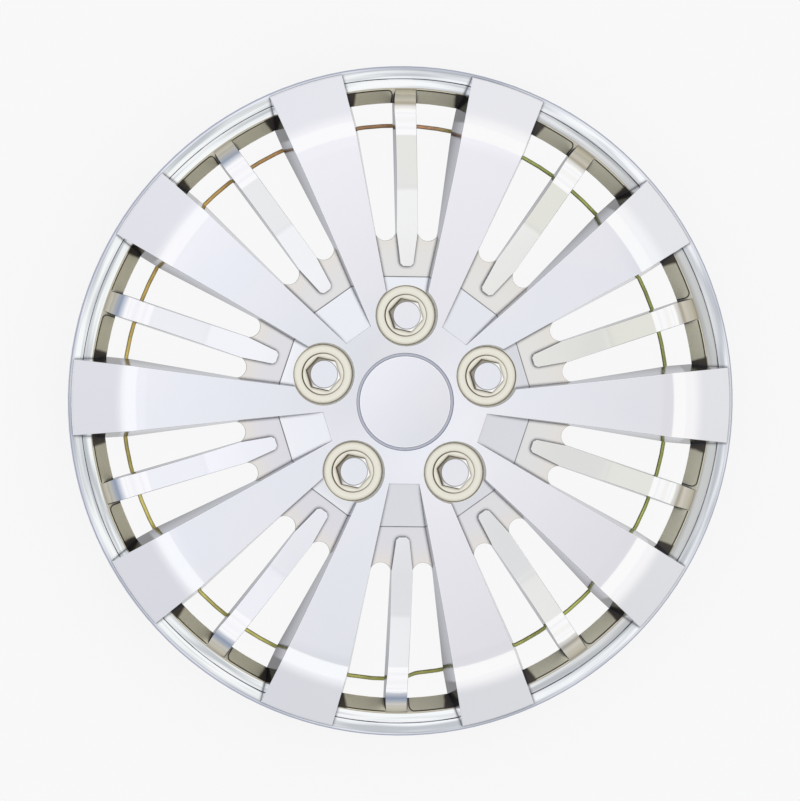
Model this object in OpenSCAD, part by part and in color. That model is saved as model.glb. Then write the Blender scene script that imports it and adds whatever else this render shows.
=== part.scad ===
// Push-on wheel cover for a 15 inch steel wheel: ten wide spokes, ten narrow
// spokes and five imitation wheel nuts in one moulding, and the steel wire ring
// that springs its ten legs outward.
// The axis of the wheel is Z, the face looks up, and heights are measured from
// the tips of the legs, on which the cover rests.

/* [Rim] */
// Outer diameter of the rim lip
cover_d = 406; // [398:1:426]
// Thickness of the moulding
wall = 2.5; // [2.1:0.1:2.8]
// Height of the crest of the lip above the leg tips
lip_z = 38.7; // [37:0.1:41]
// Depth of the lip from its crest to the flat that meets the wheel
lip_depth = 4.2; // [3.8:0.1:4.8]
// Width of the flat that meets the wheel
seat_w = 4.6; // [3.8:0.1:5.2]
// Radius of the round on the outside of the lip
lip_round = 1.6; // [1:0.1:2.2]
// Width of the outer band of the lip
lip_w = 7.6; // [6.8:0.1:8.6]
// Height of the step between the two bands
step_h = 0.9; // [0.5:0.1:1.3]
// Width of the inner band of the rim
band_w = 6.4; // [5.4:0.1:7.6]
// Fall of each band towards the hub
band_fall = 2; // [1.4:0.1:2.6]
// Width of the slanted wall inside the bands, seen from the front
slant_w = 8.5; // [7.4:0.1:9.6]
// Depth of the slanted wall
slant_h = 7.2; // [6.2:0.1:8.2]

/* [Wide spokes] */
// Number of wide spokes, and of narrow spokes between them
spokes = 10; // [10:1:10]
// Half the width of a wide spoke where the lines of its sides pass the axis
wide_root = 0.9; // [0.4:0.1:1.4]
// Angle at which each side spreads as far as the shoulder
wide_spread = 6.3; // [5.9:0.1:6.6]
// Angle at which each side spreads beyond the shoulder
tip_spread = 2; // [1:0.1:3.5]
// Draft angle of the sides
wide_draft = 9; // [7:0.5:10]
// Height of the face at its crown
crown_z = 56.3; // [55.6:0.1:57.6]
// Radius from the axis at which the face is highest
crown_at = 95; // [88:1:102]
// Radius of curvature of the face from the hub to the shoulder
crown_bow = 1000; // [850:10:1600]
// Distance from the lip edge in to the corner of the shoulder
shoulder_in = 38; // [36:0.5:41]
// Length of the round on each side of the shoulder's corner
shoulder_round = 8.5; // [5:0.5:10]
// Distance from the lip edge in to the ends of the spokes
tip_in = 2.6; // [2.5:0.1:3.2]
// Height of the spoke ends over the crest of the lip
tip_rise = 1.8; // [1.2:0.1:2.8]

/* [Hub] */
// Diameter of the centre disc, at the outside of its groove
disc_d = 59.2; // [55:0.2:60]
// Width of the groove round the disc
groove_w = 1.7; // [1.2:0.1:2.2]
// Depth of the groove
groove_h = 1.1; // [0.8:0.1:1.3]
// Rise of the middle of the disc over its edge
disc_dome = 0.8; // [0.4:0.1:1.2]
// Distance from the axis to the straight inner edges of the recesses
recess_in = 49.5; // [48.5:0.5:51]
// Distance from the axis to the foot of the ramp in each recess
ramp_out = 75.5; // [73.5:0.5:77.5]
// Height of the small step at the top and the foot of each ramp
ramp_step = 0.4; // [0.3:0.1:0.6]
// Height of the floor of the recesses
floor_z = 49.5; // [49:0.1:50]
// Radius from the axis to the round inner ends of the windows
window_in = 98; // [96:0.5:100]

/* [Imitation nuts] */
// Number of nuts
nuts = 5; // [5:1:5]
// Diameter of the circle that the nuts stand on
nut_circle = 104.6; // [104:0.2:105.6]
// Diameter of the floor of a nut's pocket
pocket_d = 35.6; // [34.8:0.2:36.2]
// Draft angle of the pocket's wall
pocket_draft = 12; // [8:1:13]
// Height of the pocket's floor over the floor of the recesses
pocket_rise = 0.3; // [0.2:0.1:0.6]
// Size across the flats of a nut
nut_flats = 18; // [17.2:0.1:18.6]
// Height of the top of a nut
nut_z = 55.6; // [54.8:0.1:56.4]
// Diameter of the flat on top of a nut
nut_top_d = 16.6; // [15.8:0.2:17]
// Fall of the chamfer round the top of a nut
nut_chamfer = 1.1; // [0.8:0.1:1.5]
// Diameter of the round flange under a nut
flange_d = 25; // [24:0.2:26]
// Height of the flange
flange_h = 0.9; // [0.5:0.1:1.3]
// Diameter of the hollow inside a nut
nut_core_d = 12.6; // [11:0.2:13.2]
// Turn of the hexagons
nut_turn = 48; // [0:1:59]

/* [Narrow spokes] */
// Radius from the axis to the inner ends of the narrow spokes
thin_in = 82; // [80:0.5:84]
// Width of a narrow spoke at its inner end
thin_end_w = 7.6; // [7:0.1:8.4]
// Width of a narrow spoke from the windows outward
thin_w = 12.8; // [12:0.1:13.4]
// Radius from the axis at which a narrow spoke has its full width
thin_full = 103; // [100:0.5:106]
// Draft angle of the sides of the narrow spokes
thin_draft = 5; // [3:0.5:6.5]
// Height of a narrow spoke over the recess floor at its inner end
thin_rise = 3.5; // [3:0.1:3.9]
// Cut across the corners of the inner end
thin_corner = 1.4; // [1:0.1:1.9]
// Distance from the rim's inner edge in to the bend of a narrow spoke
thin_bend_in = 21; // [19.5:0.5:22.5]
// Height of that bend over the inner edge of the rim
thin_bend_rise = 3; // [2.2:0.1:3.8]
// Depth of the hollow at the spoke's foot under the rim's inner edge
thin_dip = 4; // [3.4:0.1:4.6]

/* [Legs and wire] */
// Outer diameter over the barbs of the legs
snap_d = 358; // [354:1:361]
// Distance from the tips of the barbs in to the middle of the wire
wire_in = 12; // [10.5:0.1:13.5]
// Diameter of the wire
wire_d = 2.5; // [2.2:0.1:2.8]
// Height of the wire above the leg tips
wire_z = 8; // [7.4:0.1:8.6]
// Clearance between the wire and the slots that hold it
wire_gap = 0.3; // [0.2:0.05:0.4]
// Outward set of the wire where it passes the tyre valve
wire_kink = 3.2; // [2:0.1:3.6]
// Direction of the middle of that set
kink_at = 266; // [265.5:0.1:266.5]
// Half the angle over which the wire is set outward
kink_half = 9.5; // [8:0.1:9.5]
// Thickness of a leg
leg_t = 3; // [2.6:0.1:3.4]
// Half the angle that a leg takes up
leg_half = 4; // [3.2:0.1:4.2]
// Thickness of the two ribs that stiffen a leg
rib_t = 2.2; // [1.6:0.1:2.6]
// Reach of those ribs towards the hub
rib_reach = 11; // [8:0.5:13]

/* [Hidden] */
$fn = 96;
smooth = 180;                // steps in the large circles

rim_r = cover_d / 2;
pitch = 360 / spokes;
nut_pitch = 360 / nuts;
span = 2 * rim_r;            // size of the blocks that cut the sides
low = 10;                    // a level well below the back of the spokes

function unit(v) = v / norm(v);
function lowered(line, drop) = [for (p = line) [p[0], p[1] - drop]];
function backward(line) = [for (i = [len(line) - 1:-1:0]) line[i]];
function within(line, r) = [for (p = line) if (p[0] < r) p];
function bend(a, b, c, n) =
    [for (i = [0:n]) let (t = i / n) (1 - t) * (1 - t) * a + 2 * t * (1 - t) * b + t * t * c];

// Rim, from the foot of its slanted wall out to the lip
step_r = rim_r - lip_w;
step_z = lip_z - band_fall;
step_run = 0.4;              // lean of the step
edge_r = step_r - band_w;
edge_z = step_z - step_h - band_fall;
foot_r = edge_r - slant_w;
foot_z = edge_z - slant_h;
seat_z = lip_z - lip_depth;
rim_front = concat(
    [[foot_r, foot_z], [edge_r, edge_z], [step_r - step_run, step_z - step_h], [step_r, step_z]],
    bend([rim_r - 1.5 * lip_round, lip_z], [rim_r, lip_z], [rim_r, lip_z - lip_round], 4));
rim_back = [
    [foot_r, foot_z] + wall * unit([slant_h, -slant_w]), [edge_r + wall / 2, edge_z - wall],
    [step_r, step_z - step_h - wall], [rim_r - seat_w, seat_z], [rim_r, seat_z]];

// Back of the hub and of all the spokes, which runs into the back of the rim
back_z = floor_z - wall;

// Face of the wide spokes and the hub
function crown(r) = crown_z - (r - crown_at) * (r - crown_at) / (2 * crown_bow);
disc_r = disc_d / 2;
shoulder_r = rim_r - shoulder_in;
crown_end = shoulder_r - shoulder_round;
crown_steps = 6;
corner = [shoulder_r, crown(crown_end) - shoulder_round * (crown_end - crown_at) / crown_bow];
tip = [rim_r - tip_in, lip_z + tip_rise];
crown_line = [for (i = [0:crown_steps - 1])
    let (r = disc_r + (crown_end - disc_r) * i / crown_steps) [r, crown(r)]];
shoulder = bend([crown_end, crown(crown_end)], corner,
                corner + shoulder_round * unit(tip - corner), 6);
face = concat(crown_line, shoulder, [tip]);
function face_z(r) = lookup(r, face);

// Lean of the ramps from upright
ramp_lean = atan((ramp_out - recess_in) / (crown(recess_in) - floor_z - 2 * ramp_step));

// Disc: a low dome inside a groove
disc_z = crown(disc_r);
dome_r = disc_r - groove_w;
dome_bevel = 0.5;
dome = [for (i = [0:4]) let (r = (dome_r - dome_bevel) * i / 4)
    [r, disc_z + disc_dome * (1 - r * r / (dome_r * dome_r))]];
groove = [[dome_r, disc_z - dome_bevel], [dome_r, disc_z - groove_h],
          [disc_r - 0.3, disc_z - groove_h]];

// Windows: their round ends lie between a narrow spoke and a wide one
function wide_half(r, z) =
    wide_root + r * tan(wide_spread) + (crown_z - z) * tan(wide_draft);
window_from = asin(thin_w / 2 / window_in);
window_to = pitch / 2 - asin(wide_half(window_in, floor_z) / window_in);
window_turn = (window_from + window_to) / 2;
window_d = 2 * window_in * sin((window_to - window_from) / 2) + 1.5;
floor_r = window_in + window_d / 2;
back = concat([[0, back_z], [floor_r, back_z]], rim_back);

// Pockets and nuts
pocket_z = floor_z + pocket_rise;
pocket_h = crown_z - pocket_z + 1;
nut_r = nut_circle / 2;
hex_r = nut_flats / (2 * cos(30));

// Top line of a narrow spoke, from its inner end down to the rim and up its edge
thin_start = [thin_in, floor_z + thin_rise];
thin_lead = [44, -1.5];      // run and fall of the line on which it leaves its inner end
thin_round = 4.5;            // length of the round on each side of its bend
thin_bend = [edge_r - thin_bend_in, edge_z + thin_bend_rise];
thin_low = [foot_r - 1, edge_z - thin_dip];
thin_arch = bend(thin_start, thin_start + thin_lead,
                 thin_bend + thin_round * unit(thin_start + thin_lead - thin_bend), 8);
thin_turn = bend(thin_arch[8], thin_bend, thin_bend + thin_round * unit(thin_low - thin_bend), 4);
thin_foot = bend(thin_turn[4], thin_low, [edge_r, edge_z - 0.3], 6);
thin_top = concat(within(thin_arch, thin_arch[8][0]), within(thin_turn, thin_turn[4][0]), thin_foot);
thin_spread = atan((thin_w - thin_end_w) / (2 * (thin_full - thin_in)));
// The sides close in as the spoke falls, so that their draft leaves its width the same
thin_toe = atan((thin_start[1] - thin_low[1]) * tan(thin_draft) / (thin_low[0] - thin_in));

// Legs and wire
wire_r = wire_d / 2;
barb_r = snap_d / 2;
ring_r = barb_r - wire_in;
slot_r = ring_r + wire_r + wire_gap;
slot_half = wire_r + wire_gap;
leg_r = slot_r + 0.9;
leg_out = leg_r + leg_t;
mouth_r = ring_r - wire_r - 0.7;
mouth_half = 0.8 * wire_r;
leg_line = [
    [mouth_r, 2.5], [mouth_r + 1.8, 0], [leg_out - 1, 0], [leg_out + 1, 3],
    [barb_r, wire_z + 2.5], [barb_r, wire_z + 4.5], [leg_out, wire_z + 12],
    [leg_out, face_z(leg_out) - wall / 2], [leg_r, face_z(leg_r) - wall / 2],
    [leg_r, wire_z + 6], [mouth_r, wire_z + 4.4],
    [mouth_r, wire_z + mouth_half], [mouth_r + 0.5, wire_z + slot_half],
    [slot_r, wire_z + slot_half], [slot_r, wire_z - slot_half],
    [mouth_r + 0.5, wire_z - slot_half], [mouth_r, wire_z - mouth_half]];
rib_in = leg_r - rib_reach;
rib_y = 0.7 * leg_r * sin(leg_half);   // distance of each rib from the middle of its leg
rib_line = [
    [leg_r + leg_t / 2, wire_z + 8], [leg_r - 2, wire_z + 8], [rib_in, foot_z + 4],
    [rib_in, face_z(rib_in) - wall / 2], [leg_r + leg_t / 2, face_z(leg_out) - wall / 2]];
kink_lead = 4.2;             // angle over which the wire swings out, and back in
wire_sides = 12;
// Radius and angle of each section, the angle measured from the middle of the set
arc_line = [for (i = [0:88]) [ring_r, kink_half + (360 - 2 * kink_half) * i / 88]];
swing = [for (i = [1:6]) let (t = i / 6)
    [ring_r + wire_kink * t * t * (3 - 2 * t), kink_lead * t - kink_half]];
set_line = [[ring_r + wire_kink, 0]];
wire_line = concat(arc_line, swing, set_line, [for (p = backward(swing)) [p[0], -p[1]]]);

// Everything between a top line and a bottom line, turned about the axis
module turned(top, bottom) {
    rotate_extrude($fn = smooth) polygon(concat(top, backward(bottom)));
}

// Everything between a top line, which starts on the axis, and the low level
module turned_hollow(top) {
    turned(top, [[0, low], [top[len(top) - 1][0], low]]);
}

// All that lies on the axis side of a plane. The plane faces toward an angle, stands
// at a distance from the axis at a height, leans outward below and is moved in.
module inside(toward, distance, height, draft, inset) {
    rotate(toward) translate([distance, 0, height]) rotate([0, -draft, 0])
        translate([-span - inset, -span, -span]) cube([span, 2 * span, 2 * span]);
}

// All between the two sides of a spoke along X, whose half width is known at a radius
module flanks(half, at, spread, height, draft, inset) {
    distance = (half - at * tan(spread)) * cos(spread);
    intersection() {
        inside(90 + spread, distance, height, draft, inset);
        inside(-90 - spread, distance, height, draft, inset);
    }
}

module wide_wedges(inset) {
    for (i = [0:spokes - 1]) rotate(i * pitch) intersection() {
        flanks(wide_root, 0, wide_spread, crown_z, wide_draft, inset);
        flanks(wide_root + shoulder_r * tan(wide_spread), shoulder_r, tip_spread,
               crown_z, wide_draft, inset);
        translate([0, -span / 2, 0]) cube([span, span, span]);
    }
}

// The hub in plan, with a straight side at each recess
module hub_plan() {
    cylinder(r = recess_in / cos(pitch / 2), h = span, $fn = spokes);
}

module wide_spokes() {
    intersection() {
        turned(concat(dome, groove, face), back);
        union() {
            wide_wedges(0);
            hub_plan();
        }
    }
}

module wide_hollows() {
    end_r = tip[0] - wall;
    intersection() {
        turned_hollow(concat([[0, disc_z - wall]], lowered(within(face, end_r), wall),
                             [[end_r, face_z(end_r) - wall]]));
        union() {
            wide_wedges(wall);
            hub_plan();
        }
    }
}

// Ring with a ramp down from the hub into each recess, or the space under the ramps
module ramps(inset, bottom) {
    top_z = crown(recess_in) - ramp_step;
    difference() {
        intersection() {
            intersection_for(i = [0:spokes - 1])
                inside((i + 0.5) * pitch, recess_in, top_z, ramp_lean, inset);
            translate([0, 0, bottom])
                cylinder(r = (ramp_out - inset / 2) / cos(pitch / 2),
                         h = top_z + ramp_step / 2 - inset - bottom, $fn = spokes);
        }
        translate([0, 0, low]) cylinder(r = recess_in - 2 * wall, h = span);
    }
}

// Floor of the recesses, whose edge is scooped out by the round ends of the windows
module recess_floor() {
    difference() {
        translate([0, 0, back_z]) cylinder(r = floor_r, h = wall, $fn = smooth);
        for (i = [0:spokes - 1], s = [-1, 1]) rotate((i + 0.5) * pitch + s * window_turn)
            translate([floor_r, 0, low]) cylinder(d = window_d, h = floor_z);
    }
}

module thin_wedges(inset) {
    cut = (thin_end_w / 2 - thin_in - thin_corner) * cos(45);
    for (i = [0:spokes - 1]) rotate((i + 0.5) * pitch) intersection() {
        flanks(thin_end_w / 2, thin_in, thin_spread, thin_start[1], thin_draft, inset);
        flanks(thin_w / 2, thin_full, -thin_toe, thin_start[1], thin_draft, inset);
        inside(180, -thin_in, thin_start[1], thin_draft, inset);
        inside(135, cut, thin_start[1], thin_draft, inset);
        inside(-135, cut, thin_start[1], thin_draft, inset);
    }
}

module thin_spokes() {
    intersection() {
        turned(concat([[0, thin_start[1]]], thin_top),
               concat(within(back, edge_r), [[edge_r, edge_z - wall]]));
        thin_wedges(0);
    }
}

module thin_hollows() {
    intersection() {
        turned_hollow(concat([[0, thin_start[1] - wall]],
                             lowered(within(thin_top, foot_r - wall), wall)));
        thin_wedges(wall);
    }
}

module at_nuts() {
    for (i = [0:nuts - 1]) rotate(i * nut_pitch + pitch / 2) translate([nut_r, 0, 0])
        rotate(nut_turn - i * nut_pitch - pitch / 2) children();
}

// A pocket's drafted shape from a level up, widened all round
module pocket(from, wider) {
    r = pocket_d / 2 + wider;
    rise = tan(pocket_draft);
    translate([0, 0, from]) cylinder(r1 = r + (from - pocket_z) * rise, r2 = r + pocket_h * rise,
                                     h = pocket_z + pocket_h - from);
}

// An imitation nut on its flange, open behind
module nut() {
    bevel = (hex_r - nut_top_d / 2) / nut_chamfer;
    difference() {
        union() {
            translate([0, 0, back_z]) cylinder(d = flange_d, h = pocket_z + flange_h - back_z);
            intersection() {
                translate([0, 0, back_z]) cylinder(r = hex_r, h = nut_z - back_z, $fn = 6);
                translate([0, 0, back_z])
                    cylinder(r1 = nut_top_d / 2 + bevel * (nut_z - back_z), r2 = nut_top_d / 2,
                             h = nut_z - back_z);
            }
        }
        translate([0, 0, low]) cylinder(d = nut_core_d, h = nut_z - wall - low);
    }
}

// One leg: it hangs from the roof of a wide spoke, grips the wire in a slot that is
// open towards the axis and carries a barb on the outside
module leg() {
    rotate(-leg_half) rotate_extrude(angle = 2 * leg_half, $fn = smooth) polygon(leg_line);
    for (s = [-1, 1]) translate([0, s * rib_y + rib_t / 2, 0]) rotate([90, 0, 0])
        linear_extrude(rib_t) polygon(rib_line);
}

// Face, rim and spokes as a shell that is open behind
module shell() {
    difference() {
        union() {
            turned(rim_front, rim_back);
            wide_spokes();
            ramps(0, floor_z - wall / 2);
            recess_floor();
            thin_spokes();
        }
        difference() {
            union() {
                wide_hollows();
                ramps(wall, low);
            }
            at_nuts() pocket(low, wall);
        }
        thin_hollows();
        at_nuts() pocket(pocket_z, 0);
        at_nuts() translate([0, 0, low]) cylinder(d = nut_core_d, h = nut_z);
    }
}

module cover() {
    color("silver") {
        shell();
        at_nuts() nut();
        for (i = [0:spokes - 1]) rotate(i * pitch) leg();
    }
}

// The wire is swept along its line, a closed ring of sections that each lie in a
// plane through the axis
module retention_ring() {
    sections = len(wire_line);
    points = [for (p = wire_line, j = [0:wire_sides - 1])
        let (turn = 360 * j / wire_sides, r = p[0] + wire_r * cos(turn))
        [r * cos(p[1]), r * sin(p[1]), wire_z + wire_r * sin(turn)]];
    faces = [for (i = [0:sections - 1], j = [0:wire_sides - 1])
        let (a = i * wire_sides, b = (i + 1) % sections * wire_sides, k = (j + 1) % wire_sides)
        each [[a + j, a + k, b + k], [a + j, b + k, b + j]]];
    color("darkkhaki") rotate(kink_at) polyhedron(points, faces);
}

cover();
retention_ring();
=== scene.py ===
import bpy
import math
from mathutils import Matrix, Vector

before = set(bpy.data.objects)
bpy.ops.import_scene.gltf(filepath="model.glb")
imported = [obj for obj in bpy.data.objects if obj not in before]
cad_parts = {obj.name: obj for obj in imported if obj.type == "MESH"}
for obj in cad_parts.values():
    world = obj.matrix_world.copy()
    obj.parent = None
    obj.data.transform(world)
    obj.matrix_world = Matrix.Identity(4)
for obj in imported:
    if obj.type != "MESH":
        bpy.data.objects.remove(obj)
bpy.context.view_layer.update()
print("frame loaded, nodes:", sorted(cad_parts))

mm = 0.001
scene = bpy.context.scene
collection = scene.collection
scene.view_settings.view_transform = "Standard"


# Node helpers

def addNode(tree, kind, **settings):
    node = tree.nodes.new(kind)
    for name, value in settings.items():
        setattr(node, name, value)
    return node


def plug(tree, socket, value):
    if isinstance(value, (int, float)):
        socket.default_value = value
    elif isinstance(value, tuple):
        socket.default_value = (*value, 1.0) if len(socket.default_value) == 4 else value
    elif value is not None:
        tree.links.new(value, socket)


def maths(tree, operation, first, second=None, third=None, clamp=False):
    node = addNode(tree, "ShaderNodeMath", operation=operation, use_clamp=clamp)
    for socket, value in zip(node.inputs, (first, second, third)):
        plug(tree, socket, value)
    return node.outputs[0]


def step(tree, value, low, high):
    node = addNode(tree, "ShaderNodeMapRange", interpolation_type="SMOOTHSTEP")
    plug(tree, node.inputs["Value"], value)
    node.inputs["From Min"].default_value = low
    node.inputs["From Max"].default_value = high
    return node.outputs["Result"]


def outside(tree, mask):
    return maths(tree, "SUBTRACT", 1.0, mask)


def below(tree, value, low, high):
    return outside(tree, step(tree, value, low, high))


def both(tree, first, *others):
    for other in others:
        first = maths(tree, "MULTIPLY", first, other)
    return first


def between(tree, value, low, high, soft):
    pastLow = step(tree, value, low - soft, low + soft)
    return both(tree, pastLow, below(tree, value, high - soft, high + soft))


def squared(tree, value):
    return maths(tree, "MULTIPLY", value, value)


def distance(tree, x, y):
    return maths(tree, "SQRT", maths(tree, "ADD", squared(tree, x), squared(tree, y)))


def mixed(tree, factor, first, second, blend="MIX"):
    node = addNode(tree, "ShaderNodeMix", data_type="RGBA", blend_type=blend)
    for number, value in ((0, factor), (6, first), (7, second)):
        plug(tree, node.inputs[number], value)
    return node.outputs[2]


def noise(tree, where, scale, detail=3.0, roughness=0.5):
    node = addNode(tree, "ShaderNodeTexNoise")
    plug(tree, node.inputs["Vector"], where)
    plug(tree, node.inputs["Scale"], scale)
    node.inputs["Detail"].default_value = detail
    node.inputs["Roughness"].default_value = roughness
    return node.outputs["Fac"]


def split(tree, vector):
    node = addNode(tree, "ShaderNodeSeparateXYZ")
    plug(tree, node.inputs[0], vector)
    return node.outputs["X"], node.outputs["Y"], node.outputs["Z"]


def dot(tree, vector, direction):
    node = addNode(tree, "ShaderNodeVectorMath", operation="DOT_PRODUCT")
    plug(tree, node.inputs[0], vector)
    node.inputs[1].default_value = direction
    return node.outputs["Value"]


def colourRamp(tree, factor, stops, span):
    ramp = addNode(tree, "ShaderNodeValToRGB")
    elements = ramp.color_ramp.elements
    while len(elements) > 1:
        elements.remove(elements[-1])
    for number, (at, colour) in enumerate(stops):
        element = elements[0] if number == 0 else elements.new(at / span)
        element.position = at / span
        element.color = (*colour, 1.0)
    plug(tree, ramp.inputs["Fac"], factor)
    return ramp.outputs["Color"]


def newMaterial(name):
    material = bpy.data.materials.new(name)
    material.use_nodes = True
    tree = material.node_tree
    tree.nodes.clear()
    return material, tree, addNode(tree, "ShaderNodeOutputMaterial")


# Camera: a long lens, a little to the left of the wheel's axis and a little above it

cameraSetup = {
    "left": 7.0,         # degrees off the axis
    "above": 1.4,
    "roll": 0.86,        # the pattern stands this much clockwise
    "distance": 5.0,
    "lens": 371.4,
    "sensor": 36.0,
    "aim": (-0.0011, 0.0004, 0.037),
}


def towardCamera():
    left, above = math.radians(cameraSetup["left"]), math.radians(cameraSetup["above"])
    return Vector((-math.sin(left) * math.cos(above), math.sin(above), math.cos(left) * math.cos(above)))


def makeCamera():
    back = towardCamera()
    data = bpy.data.cameras.new("camera")
    data.lens = cameraSetup["lens"]
    data.sensor_fit = "HORIZONTAL"
    data.sensor_width = cameraSetup["sensor"]
    data.clip_start, data.clip_end = 0.1, 50.0
    camera = bpy.data.objects.new("camera", data)
    camera.location = Vector(cameraSetup["aim"]) + back * cameraSetup["distance"]
    up = (Vector((0, 1, 0)) - back * back.y).normalized()      # the wheel's top stays up
    look = Matrix((up.cross(back), up, back)).transposed()
    camera.rotation_mode = "QUATERNION"
    roll = Matrix.Rotation(math.radians(cameraSetup["roll"]), 3, back)
    camera.rotation_quaternion = (roll @ look).to_quaternion()
    collection.objects.link(camera)
    scene.camera = camera


makeCamera()
print("camera placed")


# Light: one soft white tent over the table. A level face shows its middle, which is a little
# greyer than the rest. The colours beyond it go by the angle from the middle, in degrees

tentSetup = {
    "faceLow": (0.775, 0.775, 0.805),    # the middle, from the lower right to the upper left
    "faceHigh": (0.945, 0.945, 0.99),
    "faceLean": (-0.73, 0.68, 0.0),
    "faceContrast": 3.2,
    "faceEnds": (22.0, 23.6),
    "rightShift": 2.0,                   # it reaches further on the right
    "sideEnds": (-0.3, 0.5),             # from the left half's colours to the right half's
    "horizon": 90,
    "left": [(0, (1.03, 1.03, 1.04)), (41, (1.03, 1.03, 1.04)), (43, (0.97, 0.97, 1.0)),
             (46, (0.97, 0.97, 1.0)), (50, (1.03, 1.03, 1.03)), (58, (1.0, 1.0, 1.02)),
             (66, (0.56, 0.61, 0.69)), (73, (0.70, 0.73, 0.78)), (80, (0.80, 0.81, 0.84)),
             (90, (0.86, 0.87, 0.88))],
    "right": [(0, (1.03, 1.03, 1.01)), (41, (1.03, 1.03, 1.01)), (43, (0.97, 0.97, 0.97)),
              (46, (0.97, 0.97, 0.97)), (50, (1.03, 1.03, 1.02)), (58, (1.0, 0.99, 0.96)),
              (66, (0.60, 0.60, 0.61)), (73, (0.72, 0.72, 0.73)), (80, (0.80, 0.80, 0.80)),
              (90, (0.86, 0.86, 0.86))],
}


def makeTent():
    s = tentSetup
    world = bpy.data.worlds.new("tent")
    scene.world = world
    world.use_nodes = True
    tree = world.node_tree
    tree.nodes.clear()
    where = addNode(tree, "ShaderNodeTexCoord").outputs["Generated"]
    x = split(tree, where)[0]
    back = towardCamera()
    middle = Vector((-back.x, -back.y, back.z))
    angle = maths(tree, "ARCCOSINE", dot(tree, where, middle))
    height = maths(tree, "DIVIDE", angle, math.pi / 2, clamp=True)
    side = step(tree, x, *s["sideEnds"])
    left = colourRamp(tree, height, s["left"], s["horizon"])
    right = colourRamp(tree, height, s["right"], s["horizon"])
    far = mixed(tree, side, left, right)
    lean = Vector(s["faceLean"])
    rise = maths(tree, "SUBTRACT", dot(tree, where, lean), lean.dot(middle))
    share = maths(tree, "MULTIPLY_ADD", rise, s["faceContrast"], 0.5, clamp=True)
    face = mixed(tree, share, s["faceLow"], s["faceHigh"])
    degrees = maths(tree, "MULTIPLY_ADD", side, -s["rightShift"], maths(tree, "DEGREES", angle))
    colour = mixed(tree, step(tree, degrees, *s["faceEnds"]), face, far)
    background = addNode(tree, "ShaderNodeBackground")
    plug(tree, background.inputs["Color"], colour)
    output = addNode(tree, "ShaderNodeOutputWorld")
    plug(tree, output.inputs["Surface"], background.outputs[0])


makeTent()


# Fine unevenness that every surface here has: cloudy tone, small bumps and stray specks

def makeSurfaceGrain():
    group = bpy.data.node_groups.new("surfaceGrain", "ShaderNodeTree")
    face = group.interface
    face.new_socket("Position", in_out="INPUT", socket_type="NodeSocketVector")
    for name in ("Cloud Scale", "Bump Scale", "Speck Scale", "Speck Share"):
        face.new_socket(name, in_out="INPUT", socket_type="NodeSocketFloat")
    for name in ("Cloud", "Bump", "Specks"):
        face.new_socket(name, in_out="OUTPUT", socket_type="NodeSocketFloat")
    entry = addNode(group, "NodeGroupInput")
    leave = addNode(group, "NodeGroupOutput")
    where = entry.outputs["Position"]
    cloud = noise(group, where, entry.outputs["Cloud Scale"], 4.0, 0.6)
    bump = noise(group, where, entry.outputs["Bump Scale"], 2.0)
    cells = addNode(group, "ShaderNodeTexVoronoi")
    plug(group, cells.inputs["Vector"], where)
    plug(group, cells.inputs["Scale"], entry.outputs["Speck Scale"])
    chosen = addNode(group, "ShaderNodeSeparateColor")
    plug(group, chosen.inputs[0], cells.outputs["Color"])
    kept = maths(group, "LESS_THAN", chosen.outputs[0], entry.outputs["Speck Share"])
    size = maths(group, "MULTIPLY_ADD", chosen.outputs[1], 0.16, 0.06)
    inside = maths(group, "LESS_THAN", cells.outputs["Distance"], size)
    specks = maths(group, "MULTIPLY", kept, inside)
    for name, value in (("Cloud", step(group, cloud, 0.3, 0.7)), ("Bump", bump), ("Specks", specks)):
        plug(group, leave.inputs[name], value)
    return group


surfaceGrain = makeSurfaceGrain()


def addGrain(tree, where, cloudScale, bumpScale, speckScale, speckShare):
    node = addNode(tree, "ShaderNodeGroup", node_tree=surfaceGrain)
    plug(tree, node.inputs["Position"], where)
    for name, value in (("Cloud Scale", cloudScale), ("Bump Scale", bumpScale),
                        ("Speck Scale", speckScale), ("Speck Share", speckShare)):
        node.inputs[name].default_value = value
    return node.outputs


# Floor: white paper with a painted pool of light that makes it paler in the middle, which still takes a
# shadow

floorSetup = {
    "size": 8.0,
    "outer": (0.95, 0.95, 0.95),
    "middle": (0.99, 0.99, 0.99),
    "lightPoolRadius": 0.186,
    "lightPoolSoft": 0.004,
    "cloudTone": (0.9, 0.9, 0.9),
    "ownLight": 0.90,
}


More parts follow.
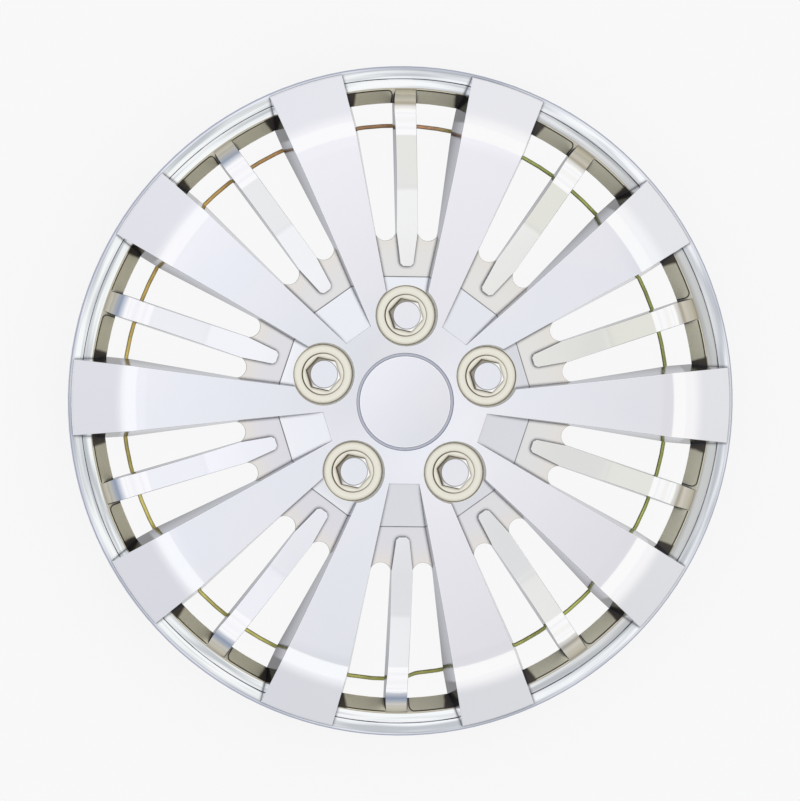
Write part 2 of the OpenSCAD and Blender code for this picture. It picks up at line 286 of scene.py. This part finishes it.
def makeFloor():
    material, tree, output = newMaterial("floorPaper")
    where = addNode(tree, "ShaderNodeTexCoord").outputs["Object"]
    grain = addGrain(tree, where, 2.0, 900.0, 60.0, 0.0)
    reach = addNode(tree, "ShaderNodeVectorMath", operation="LENGTH")
    plug(tree, reach.inputs[0], where)
    # Painted pool of light: the paper is paler inside the middle radius
    edge, soft = floorSetup["lightPoolRadius"], floorSetup["lightPoolSoft"]
    outward = step(tree, reach.outputs["Value"], edge - soft, edge + soft)
    tone = mixed(tree, outward, floorSetup["middle"], floorSetup["outer"])
    tone = mixed(tree, maths(tree, "MULTIPLY", grain["Cloud"], 0.006), tone, floorSetup["cloudTone"])
    paper = addNode(tree, "ShaderNodeBsdfDiffuse")
    plug(tree, paper.inputs["Color"], tone)
    glow = addNode(tree, "ShaderNodeEmission")
    plug(tree, glow.inputs["Color"], tone)
    path = addNode(tree, "ShaderNodeLightPath").outputs
    seen = maths(tree, "ADD", path["Is Camera Ray"], path["Is Glossy Ray"])
    seen = maths(tree, "ADD", seen, path["Is Transmission Ray"], clamp=True)
    mix = addNode(tree, "ShaderNodeMixShader")
    plug(tree, mix.inputs[0], maths(tree, "MULTIPLY", seen, floorSetup["ownLight"]))
    plug(tree, mix.inputs[1], paper.outputs[0])
    plug(tree, mix.inputs[2], glow.outputs[0])
    plug(tree, output.inputs["Surface"], mix.outputs[0])
    half = floorSetup["size"] / 2
    mesh = bpy.data.meshes.new("floor")
    corners = [(-half, -half, 0), (half, -half, 0), (half, half, 0), (-half, half, 0)]
    mesh.from_pydata(corners, [], [(0, 1, 2, 3)])
    mesh.materials.append(material)
    floor = bpy.data.objects.new("floor", mesh)
    collection.objects.link(floor)


makeFloor()
print("tent and floor made")


# Cover: bright chrome on a moulding. Its base colour carries painted reflection and painted shade:
# other tones in the recesses, on the walls and on the slanted wall of the rim, some changing with
# the side of the wheel, and fine dark lines of painted shade where two faces meet. The tones are
# fixed to the cover. Sizes are in millimetres, and pairs are where a change starts and ends.

coverSetup = {
    "pitch": 36.0,                   # degrees from one wide spoke to the next
    "crown": (56.3, 95.0, 1000.0),   # height, radius and bow of the wide faces
    "groove": (27.8, 29.7),
    "spokeFoot": (38.9, 39.3),       # height at which the wide spokes leave the rim
    "wideEnd": (172, 181),
    "sunkBy": (0.3, 0.5),            # depth under the crown
    "hubFloor": (49.9, 50.2),        # height
    "floorEnd": (84, 104),
    "floorBend": (84, 86),
    "rampFoot": 75.6,
    "hubEdge": 111.0,
    "nutCircle": 52.3,
    "pocket": 18.4,
    "flangeLines": ((12.2, 12.95), (17.6, 18.15)),
    "thinHalf": (6.7, 7.1),
    "thinEnd": 81.0,
    "thinToneEnd": (124.0, 127.5),
    "thinBend": 161.3,
    "footFrom": 176.0,
    "footLength": 13,
    "rimWall": (180.0, 189.3),
    "wallCorner": (30.5, 32.5),
    "lip": 195.4,
    "face": (0.93, 0.93, 0.95),
    "cool": (0.885, 0.92, 0.965),    # faint tints that drift over the chrome
    "warm": (0.95, 0.925, 0.945),
    "grooveShade": (0.60, 0.62, 0.70),
    "outboardReflection": ((0.66, 0.67, 0.70), (0.88, 0.88, 0.92)),
    "ramp": (0.88, 0.895, 0.92),
    "recess": (0.89, 0.88, 0.82),
    "recessCool": (0.83, 0.82, 0.845),
    "recessEnd": (0.895, 0.855, 0.77),
    "ring": (0.95, 0.92, 0.78),
    "ringShadeLine": (0.13, 0.10, 0.045),
    "hexTurn": 48.0,
    "hexFlat": 9.0,
    "nutTop": 8.3,
    "facetOut": (10.6, 10.9),
    "facetLow": (53.6, 53.9),        # height
    "nutShadeLine": (0.13, 0.115, 0.09),
    "nutFacetLit": (0.95, 0.95, 0.96),
    "nutFacetShaded": (0.30, 0.27, 0.22),
    "narrowInReflection": ((0.925, 0.925, 0.86), (0.955, 0.965, 0.99)),
    "narrow": ((0.735, 0.735, 0.69), (0.84, 0.85, 0.90)),
    "footWarmReflection": [(0, (0.93, 0.93, 0.92)), (2.5, (0.86, 0.84, 0.78)), (4.5, (0.45, 0.41, 0.30)),
                 (6.5, (0.66, 0.62, 0.50)), (9, (0.55, 0.52, 0.41)), (13, (0.36, 0.33, 0.25))],
    "footCoolReflection": [(0, (0.93, 0.93, 0.95)), (2.5, (0.60, 0.64, 0.70)), (4.5, (0.30, 0.36, 0.46)),
                 (6.5, (0.45, 0.48, 0.52)), (8, (0.62, 0.60, 0.52)), (13, (0.40, 0.37, 0.30))],
    "rimSlantReflection": (0.68, 0.64, 0.48),
    "corner": (0.08, 0.065, 0.045),
    "line": (0.07, 0.06, 0.045),
    "lineOuter": (0.66, 0.62, 0.50),
    "lineRound": 3.2,
    "lineBeside": 8.0,
    "lineOut": 188.4,
    "wallLowShade": (0.11, 0.11, 0.13),
    "wallHighShade": (0.38, 0.39, 0.44),
    "wallEndShade": (0.03, 0.03, 0.04),
    "bandDarkReflection": (0.50, 0.53, 0.57),
    "bandLightReflection": (0.90, 0.92, 0.94),
    "bandShade": (0.40, 0.40, 0.38),
    "outerEdgeReflection": (0.44, 0.46, 0.56),
    "bandEdgeShade": (0.36, 0.32, 0.23),
    "bandStepShade": (0.06, 0.07, 0.13),
    "behind": (0.62, 0.62, 0.63),
    "cloudTone": (0.74, 0.76, 0.82),
    "creaseShade": (0.07, 0.07, 0.085),
    "ringCreaseShade": (0.15, 0.115, 0.05),
    "creaseReach": 2.2,
    "roughness": 0.05,
    "bumpStrength": 0.6,
    "bumpDepth": 0.004,
    "weldGap": 0.095,
    "flatWithin": 0.3,               # degrees
    "edgeWidth": 0.3,
    "edgeSteps": 3,
    "roundFrom": 20.0,               # degrees
    "crispFrom": 32.0,
}


def coverPlaces(tree, where):
    s = coverSetup
    x, y, z = (maths(tree, "DIVIDE", part, mm) for part in split(tree, where))
    r = distance(tree, x, y)
    at = {"r": r, "z": z}
    turn = maths(tree, "ARCTAN2", y, x)
    pitch = math.radians(s["pitch"])
    # Along and beside the nearest narrow spoke
    fold = maths(tree, "SUBTRACT", maths(tree, "WRAP", turn, pitch, 0.0), pitch / 2)
    at["along"] = maths(tree, "MULTIPLY", r, maths(tree, "COSINE", fold))
    at["leftOf"] = maths(tree, "MULTIPLY", r, maths(tree, "SINE", fold))
    at["beside"] = maths(tree, "ABSOLUTE", at["leftOf"])
    # From the axis of the nearest nut
    nutTurn = maths(tree, "SUBTRACT", maths(tree, "WRAP", turn, 1.5 * pitch, -pitch / 2), pitch / 2)
    nutX = maths(tree, "MULTIPLY", r, maths(tree, "COSINE", nutTurn))
    nutX = maths(tree, "SUBTRACT", nutX, s["nutCircle"])
    nutY = maths(tree, "MULTIPLY", r, maths(tree, "SINE", nutTurn))
    nut = at["nut"] = distance(tree, nutX, nutY)
    # All five hexagons stand the same way, so their flats are measured in the wheel's own frame
    nutAim = maths(tree, "ADD", maths(tree, "SUBTRACT", turn, nutTurn), maths(tree, "ARCTAN2", nutY, nutX))
    at["nutRightward"] = maths(tree, "COSINE", nutAim)
    hexAim = maths(tree, "SUBTRACT", nutAim, math.radians(s["hexTurn"]))
    side = maths(tree, "SUBTRACT", maths(tree, "WRAP", hexAim, math.pi / 3, 0.0), math.pi / 6)
    at["hex"] = maths(tree, "MULTIPLY", nut, maths(tree, "COSINE", side))
    high, middle, bow = s["crown"]
    fall = maths(tree, "DIVIDE", maths(tree, "POWER", maths(tree, "SUBTRACT", r, middle), 2.0), 2 * bow)
    at["depth"] = maths(tree, "SUBTRACT", maths(tree, "SUBTRACT", high, z), fall)
    at["rightward"] = maths(tree, "DIVIDE", x, r)
    at["upward"] = maths(tree, "DIVIDE", y, r)
    return at


def makeChrome():
    s = coverSetup
    material, tree, output = newMaterial("chromePlate")
    coord = addNode(tree, "ShaderNodeTexCoord").outputs
    at = coverPlaces(tree, coord["Object"])
    r, z, beside = at["r"], at["z"], at["beside"]
    up = split(tree, coord["Normal"])[2]
    front = step(tree, up, 0.35, 0.5)
    behind = below(tree, up, -0.3, -0.2)
    wall = both(tree, below(tree, up, 0.35, 0.5), step(tree, up, -0.3, -0.2))
    grain = addGrain(tree, coord["Object"], 14.0, 330.0, 260.0, 0.02)

    # Wide faces and the disc
    drift = step(tree, noise(tree, coord["Object"], 9.0, 2.0), 0.38, 0.62)
    tint = mixed(tree, drift, s["cool"], s["warm"])
    colour = mixed(tree, 0.55, s["face"], tint)
    # Painted reflection: the outer ends of the wide spokes are greyer, lighter towards the top of the wheel
    # and a little towards the right
    upper = maths(tree, "MULTIPLY_ADD", at["upward"], 0.28, 0.45)
    outboardReflection = mixed(tree, maths(tree, "MULTIPLY_ADD", at["rightward"], 0.08, upper), *s["outboardReflection"])
    ahead = maths(tree, "MULTIPLY_ADD", at["rightward"], -4.0, r)
    onEnd = both(tree, front, step(tree, ahead, *s["wideEnd"]), step(tree, z, *s["spokeFoot"]))
    colour = mixed(tree, onEnd, colour, outboardReflection)
    # Painted shade: the groove round the disc is darker
    colour = mixed(tree, between(tree, r, *s["groove"], 0.15), colour, s["grooveShade"])

    # Recesses of the hub: ramp, floor and the pockets of the nuts
    inHub = below(tree, r, s["hubEdge"] - 0.5, s["hubEdge"] + 0.5)
    sunk = both(tree, step(tree, at["depth"], *s["sunkBy"]), inHub, front, step(tree, r, 30, 34))
    onFloor = below(tree, z, *s["hubFloor"])
    beyondRamp = step(tree, at["along"], s["rampFoot"] - 0.2, s["rampFoot"] + 0.2)
    # Painted reflection: the recess floors are cream, cooler towards the lower left of the wheel and warmer
    # at their outer end
    toCool = maths(tree, "MULTIPLY_ADD", at["rightward"], -0.35, 0.5)
    toCool = maths(tree, "MULTIPLY_ADD", at["upward"], -0.35, toCool, clamp=True)
    floorTone = mixed(tree, toCool, s["recess"], s["recessCool"])
    floorTone = mixed(tree, step(tree, r, *s["floorEnd"]), floorTone, s["recessEnd"])
    inPocket = both(tree, sunk, below(tree, at["nut"], s["pocket"] - 0.2, s["pocket"] + 0.2))
    # Painted reflection: the ramp has its own slightly darker, cooler tone
    colour = mixed(tree, sunk, colour, s["ramp"])
    # Painted shade: a dark line where the recess floor bends up at its edge
    atBend = both(tree, step(tree, r, *s["floorBend"]), below(tree, up, 0.8, 0.95))
    floorTone = mixed(tree, atBend, floorTone, s["creaseShade"])
    colour = mixed(tree, both(tree, sunk, beyondRamp, onFloor), colour, floorTone)
    # Painted shade: a dark line along the foot of the ramp
    rampFootShade = between(tree, at["along"], s["rampFoot"] - 0.35, s["rampFoot"] + 0.25, 0.15)
    rampFootShade = both(tree, sunk, rampFootShade)
    colour = mixed(tree, maths(tree, "MULTIPLY", rampFootShade, 0.7), colour, s["creaseShade"])
    # Painted reflection: the pocket floors round the nuts are cream
    colour = mixed(tree, inPocket, colour, s["ring"])
    # Painted shade: dark lines round the pocket, the inner one darker on its left and the outer one darker
    # on its right
    innerLine, outerLine = (between(tree, at["nut"], *ends, 0.15) for ends in s["flangeLines"])
    outlines = maths(tree, "ADD", innerLine, outerLine, clamp=True)
    whichLine = maths(tree, "MULTIPLY_ADD", step(tree, at["nut"], 14, 16), 2.0, -1.0)
    sideShade = maths(tree, "MULTIPLY_ADD", maths(tree, "MULTIPLY", at["nutRightward"], whichLine), 0.35, 0.65)
    colour = mixed(tree, both(tree, inPocket, outlines, sideShade), colour, s["ringShadeLine"])
    # Painted light and shade: the nut's facets that face up and to the left are painted dark, the others
    # bright
    facet = step(tree, dot(tree, coord["Normal"], (-0.8, 0.5, 0.0)), -0.1, 0.3)
    facetLitOrShaded = mixed(tree, facet, s["nutFacetLit"], s["nutFacetShaded"])
    onFacet = both(tree, below(tree, at["nut"], *s["facetOut"]), step(tree, z, *s["facetLow"]),
                   below(tree, up, 0.88, 0.95), step(tree, up, 0.2, 0.3))
    colour = mixed(tree, onFacet, colour, facetLitOrShaded)
    # Painted shade: dark lines round the nut's top, stronger on its left, and along the foot of the hexagon
    rimOfTop = both(tree, between(tree, at["nut"], s["nutTop"] - 0.25, s["nutTop"] + 0.25, 0.15),
                    step(tree, z, 54.6, 55.0))
    topStrength = maths(tree, "MULTIPLY_ADD", at["nutRightward"], -0.15, 0.8)
    rimOfTop = maths(tree, "MULTIPLY", rimOfTop, topStrength)
    hexFoot = both(tree, between(tree, at["hex"], s["hexFlat"] - 0.1, s["hexFlat"] + 0.45, 0.15),
                   below(tree, z, 54.4, 54.8), below(tree, at["nut"], 11.4, 11.8))
    colour = mixed(tree, maths(tree, "MAXIMUM", rimOfTop, hexFoot), colour, s["nutShadeLine"])

    # Narrow spokes, and their feet in the rim
    inThin = both(tree, below(tree, beside, *s["thinHalf"]), front, step(tree, at["depth"], 0.4, 0.8),
                  step(tree, r, s["thinEnd"] - 1, s["thinEnd"]), outside(tree, both(tree, onFloor, inHub)))
    # Painted reflection: the narrow spokes get two tones along their length, each cooler and lighter
    # towards the left of the wheel
    outward = maths(tree, "MULTIPLY_ADD", step(tree, at["rightward"], -1.1, 1.0), -5.0, r)
    leftward = maths(tree, "MULTIPLY_ADD", at["upward"], -0.25, 0.5)
    leftward = maths(tree, "MULTIPLY_ADD", at["rightward"], -0.45, leftward, clamp=True)
    narrow = mixed(tree, step(tree, outward, *s["thinToneEnd"]), mixed(tree, leftward, *s["narrowInReflection"]),
                   mixed(tree, leftward, *s["narrow"]))
    narrow = mixed(tree, step(tree, r, s["thinBend"] - 0.6, s["thinBend"] + 0.6), narrow, s["face"])
    colour = mixed(tree, inThin, colour, narrow)
    # Painted reflection and painted shade: the feet darken down the rim's wall, warm towards the upper
    # right of the wheel and cool towards the lower left
    down = maths(tree, "SUBTRACT", r, s["footFrom"])
    down = maths(tree, "DIVIDE", down, s["footLength"], clamp=True)
    rightPart = maths(tree, "MULTIPLY", at["rightward"], 0.87)
    toRight = maths(tree, "MULTIPLY_ADD", at["upward"], 0.5, rightPart)
    footCoolReflection = colourRamp(tree, down, s["footCoolReflection"], s["footLength"])
    footWarmReflection = colourRamp(tree, down, s["footWarmReflection"], s["footLength"])
    foot = mixed(tree, step(tree, toRight, -0.2, 0.2), footCoolReflection, footWarmReflection)
    inFoot = both(tree, inThin, between(tree, r, s["footFrom"], s["rimWall"][1], 0.1))
    colour = mixed(tree, inFoot, colour, foot)

    # Rim: slanted wall in painted reflection with painted shade at its dark ends, then two bands in painted
    # reflection with a fine step between them, drawn as a painted dark line
    inWall = both(tree, between(tree, r, *s["rimWall"], 0.2), below(tree, z, 34.0, 34.4), front,
                  outside(tree, inThin))
    # Painted shade: the slanted wall turns dark at its ends, in the corners of the windows
    ends = maths(tree, "MULTIPLY_ADD", grain["Cloud"], 2.5, beside)
    slant = mixed(tree, step(tree, ends, *s["wallCorner"]), s["rimSlantReflection"], s["corner"])
    # A painted dark line of shade under the bands turns the corner at the narrow spoke, on its left side,
    # with another painted tone beyond it; on the right side the line runs straight
    size = s["lineRound"]
    toSpoke = maths(tree, "SUBTRACT", s["lineBeside"] + size, at["leftOf"])
    toBand = maths(tree, "SUBTRACT", r, s["lineOut"] - size)
    toSpoke, toBand = (maths(tree, "MAXIMUM", part, 0.0) for part in (toSpoke, toBand))
    reach = distance(tree, toSpoke, toBand)
    onLeft = maths(tree, "GREATER_THAN", at["leftOf"], 0.0)
    leftLine = both(tree, between(tree, reach, size - 0.35, size + 0.4, 0.12), onLeft)
    slant = mixed(tree, leftLine, slant, s["line"])
    beyondLine = both(tree, step(tree, reach, size + 0.5, size + 0.8), onLeft)
    slant = mixed(tree, beyondLine, slant, s["lineOuter"])
    rightLine = between(tree, r, s["lineOut"] - 0.3, s["lineOut"] + 0.4, 0.12)
    slant = mixed(tree, both(tree, rightLine, outside(tree, onLeft)), slant, s["line"])
    colour = mixed(tree, inWall, colour, slant)
    # Painted reflection on the bands: streaks of lighter and darker tone, painted shade on their right
    # side, painted dark lines at their inner edge and at the step, and another tone at the outer edge
    rings = addNode(tree, "ShaderNodeCombineXYZ")
    plug(tree, rings.inputs["X"], maths(tree, "MULTIPLY", at["rightward"], 2.2))
    plug(tree, rings.inputs["Y"], maths(tree, "MULTIPLY", at["upward"], 2.2))
    plug(tree, rings.inputs["Z"], maths(tree, "MULTIPLY", r, 0.24))
    reflectionStreak = step(tree, noise(tree, rings.outputs[0], 1.0, 2.0), 0.34, 0.6)
    band = mixed(tree, reflectionStreak, s["bandDarkReflection"], s["bandLightReflection"])
    shade = both(tree, step(tree, at["rightward"], 0.1, 1.0), below(tree, r, 194, 199))
    band = mixed(tree, maths(tree, "MULTIPLY", shade, 0.7), band, s["bandShade"])
    band = mixed(tree, below(tree, r, 189.5, 190.1), band, s["bandEdgeShade"])
    band = mixed(tree, step(tree, r, 201.2, 202.4), band, s["outerEdgeReflection"])
    band = mixed(tree, between(tree, r, s["lip"] - 0.4, s["lip"] + 0.1, 0.1), band, s["bandStepShade"])
    pastWall = step(tree, r, s["rimWall"][1] - 0.2, s["rimWall"][1] + 0.2)
    inBand = both(tree, pastWall, front, below(tree, z, *s["spokeFoot"]))
    colour = mixed(tree, inBand, colour, band)

    # Side walls in painted shade, darker lower down and darkest at the rim, and the back
    sides = mixed(tree, step(tree, z, 26, 54), s["wallLowShade"], s["wallHighShade"])
    atRim = both(tree, between(tree, r, 172.5, 189, 1.0), step(tree, beside, 20, 25))
    sides = mixed(tree, atRim, sides, s["wallEndShade"])
    colour = mixed(tree, both(tree, wall, below(tree, r, 189, 190)), colour, sides)
    colour = mixed(tree, behind, colour, s["behind"])

    # Faint clouds everywhere, and painted shade: a dark line in every inner corner of the front
    colour = mixed(tree, maths(tree, "MULTIPLY", grain["Cloud"], 0.05), colour, s["cloudTone"])
    nearby = addNode(tree, "ShaderNodeAmbientOcclusion", samples=6, only_local=True)
    nearby.inputs["Distance"].default_value = s["creaseReach"] * mm
    creaseShade = below(tree, nearby.outputs["AO"], 0.4, 0.96)
    creaseShadeTone = mixed(tree, inPocket, s["creaseShade"], s["ringCreaseShade"])
    strength = maths(tree, "MULTIPLY_ADD", between(tree, r, 26.5, 31.0, 0.2), -0.65, 1.0)
    colour = mixed(tree, both(tree, creaseShade, step(tree, up, -0.1, 0.15), strength), colour, creaseShadeTone)

    shader = addNode(tree, "ShaderNodeBsdfPrincipled")
    plug(tree, shader.inputs["Base Color"], colour)
    shader.inputs["Metallic"].default_value = 1.0
    rough = maths(tree, "MULTIPLY_ADD", grain["Cloud"], 0.04, s["roughness"])
    for mask, more in ((behind, 0.3), (inWall, 0.25), (wall, 0.08), (grain["Specks"], 0.15)):
        rough = maths(tree, "MULTIPLY_ADD", mask, more, rough)
    plug(tree, shader.inputs["Roughness"], rough)
    bump = addNode(tree, "ShaderNodeBump")
    plug(tree, bump.inputs["Height"], grain["Bump"])
    bump.inputs["Strength"].default_value = s["bumpStrength"]
    bump.inputs["Distance"].default_value = s["bumpDepth"] * mm
    plug(tree, shader.inputs["Normal"], bump.outputs[0])
    plug(tree, output.inputs["Surface"], shader.outputs[0])
    return material


def startMeshGroup(name):
    group = bpy.data.node_groups.new(name, "GeometryNodeTree")
    for way in ("INPUT", "OUTPUT"):
        group.interface.new_socket("Geometry", in_out=way, socket_type="NodeSocketGeometry")
    bend = addNode(group, "GeometryNodeInputMeshEdgeAngle")
    mesh = addNode(group, "NodeGroupInput").outputs[0]
    result = addNode(group, "NodeGroupOutput").inputs[0]
    return group, mesh, result, bend


# Marks the edges that stand out, for the bevel to round
def makeOuterEdges():
    group, mesh, result, bend = startMeshGroup("outerEdges")
    store = addNode(group, "GeometryNodeStoreNamedAttribute", data_type="FLOAT", domain="EDGE")
    store.inputs["Name"].default_value = "bevel_weight_edge"
    plug(group, store.inputs["Geometry"], mesh)
    least = math.radians(coverSetup["roundFrom"])
    stands = maths(group, "GREATER_THAN", bend.outputs["Signed Angle"], least)
    plug(group, store.inputs["Value"], stands)
    plug(group, result, store.outputs[0])
    return group


# Keeps the corners that are still there after the bevel crisp
def makeCrispCorners():
    group, mesh, result, bend = startMeshGroup("crispCorners")
    shade = addNode(group, "GeometryNodeSetShadeSmooth", domain="EDGE")
    shade.inputs["Shade Smooth"].default_value = False
    plug(group, shade.inputs["Geometry"], mesh)
    least = math.radians(coverSetup["crispFrom"])
    sharp = maths(group, "GREATER_THAN", bend.outputs["Unsigned Angle"], least)
    plug(group, shade.inputs["Selection"], sharp)
    plug(group, result, shade.outputs[0])
    return group


def dressCover():
    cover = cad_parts["cover"]
    cover.data.materials.clear()
    cover.data.materials.append(makeChrome())
    for polygon in cover.data.polygons:
        polygon.use_smooth = True
    weld = cover.modifiers.new("weld", "WELD")
    weld.merge_threshold = coverSetup["weldGap"] * mm
    cover.modifiers.new("outerEdges", "NODES").node_group = makeOuterEdges()
    flat = cover.modifiers.new("flat", "DECIMATE")
    flat.decimate_type = "DISSOLVE"
    flat.angle_limit = math.radians(coverSetup["flatWithin"])
    edges = cover.modifiers.new("edges", "BEVEL")
    edges.width = coverSetup["edgeWidth"] * mm
    edges.segments = coverSetup["edgeSteps"]
    edges.limit_method = "WEIGHT"
    edges.use_clamp_overlap = False
    cover.modifiers.new("crispCorners", "NODES").node_group = makeCrispCorners()
    normals = cover.modifiers.new("normals", "WEIGHTED_NORMAL")
    normals.keep_sharp = True


dressCover()
print("cover plated")


# Wire: spring steel under yellow zinc, which has turned green and brown in places

wireSetup = {
    "tones": [(0, (0.46, 0.51, 0.15)), (76, (0.40, 0.45, 0.14)), (84, (0.55, 0.29, 0.17)),
              (108, (0.58, 0.30, 0.15)), (140, (0.70, 0.45, 0.12)), (200, (0.68, 0.58, 0.18)),
              (270, (0.56, 0.58, 0.17)), (360, (0.46, 0.51, 0.15))],
    "dull": (0.13, 0.12, 0.06),
    "undersideShade": (0.05, 0.045, 0.02),
    "turnedUp": (0.45, 0.97),
    "metallic": 0.85,
    "roughness": 0.16,
    "bumpStrength": 0.4,
    "bumpDepth": 0.05,                # millimetres
}


def dressWire():
    s = wireSetup
    material, tree, output = newMaterial("zincWire")
    coord = addNode(tree, "ShaderNodeTexCoord").outputs
    x, y = split(tree, coord["Object"])[:2]
    turn = maths(tree, "ARCTAN2", y, x)
    turn = maths(tree, "DIVIDE", maths(tree, "WRAP", turn, 2 * math.pi, 0.0), 2 * math.pi)
    colour = colourRamp(tree, turn, s["tones"], 360)
    grain = addGrain(tree, coord["Object"], 60.0, 900.0, 700.0, 0.15)
    colour = mixed(tree, maths(tree, "MULTIPLY", grain["Cloud"], 0.45), colour, s["dull"])
    colour = mixed(tree, maths(tree, "MULTIPLY", grain["Specks"], 0.5), colour, s["dull"])
    turned = split(tree, coord["Normal"])[2]
    # Painted shade: the wire darkens where its surface turns away from straight up
    colour = mixed(tree, step(tree, turned, *s["turnedUp"]), s["undersideShade"], colour)
    shader = addNode(tree, "ShaderNodeBsdfPrincipled")
    plug(tree, shader.inputs["Base Color"], colour)
    shader.inputs["Metallic"].default_value = s["metallic"]
    rough = maths(tree, "MULTIPLY_ADD", grain["Cloud"], 0.2, s["roughness"])
    plug(tree, shader.inputs["Roughness"], rough)
    bump = addNode(tree, "ShaderNodeBump")
    plug(tree, bump.inputs["Height"], grain["Bump"])
    bump.inputs["Strength"].default_value = s["bumpStrength"]
    bump.inputs["Distance"].default_value = s["bumpDepth"] * mm
    plug(tree, shader.inputs["Normal"], bump.outputs[0])
    plug(tree, output.inputs["Surface"], shader.outputs[0])
    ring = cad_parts["retention_ring"]
    ring.data.materials.clear()
    ring.data.materials.append(material)
    for polygon in ring.data.polygons:
        polygon.use_smooth = True


dressWire()
print("wire coated")
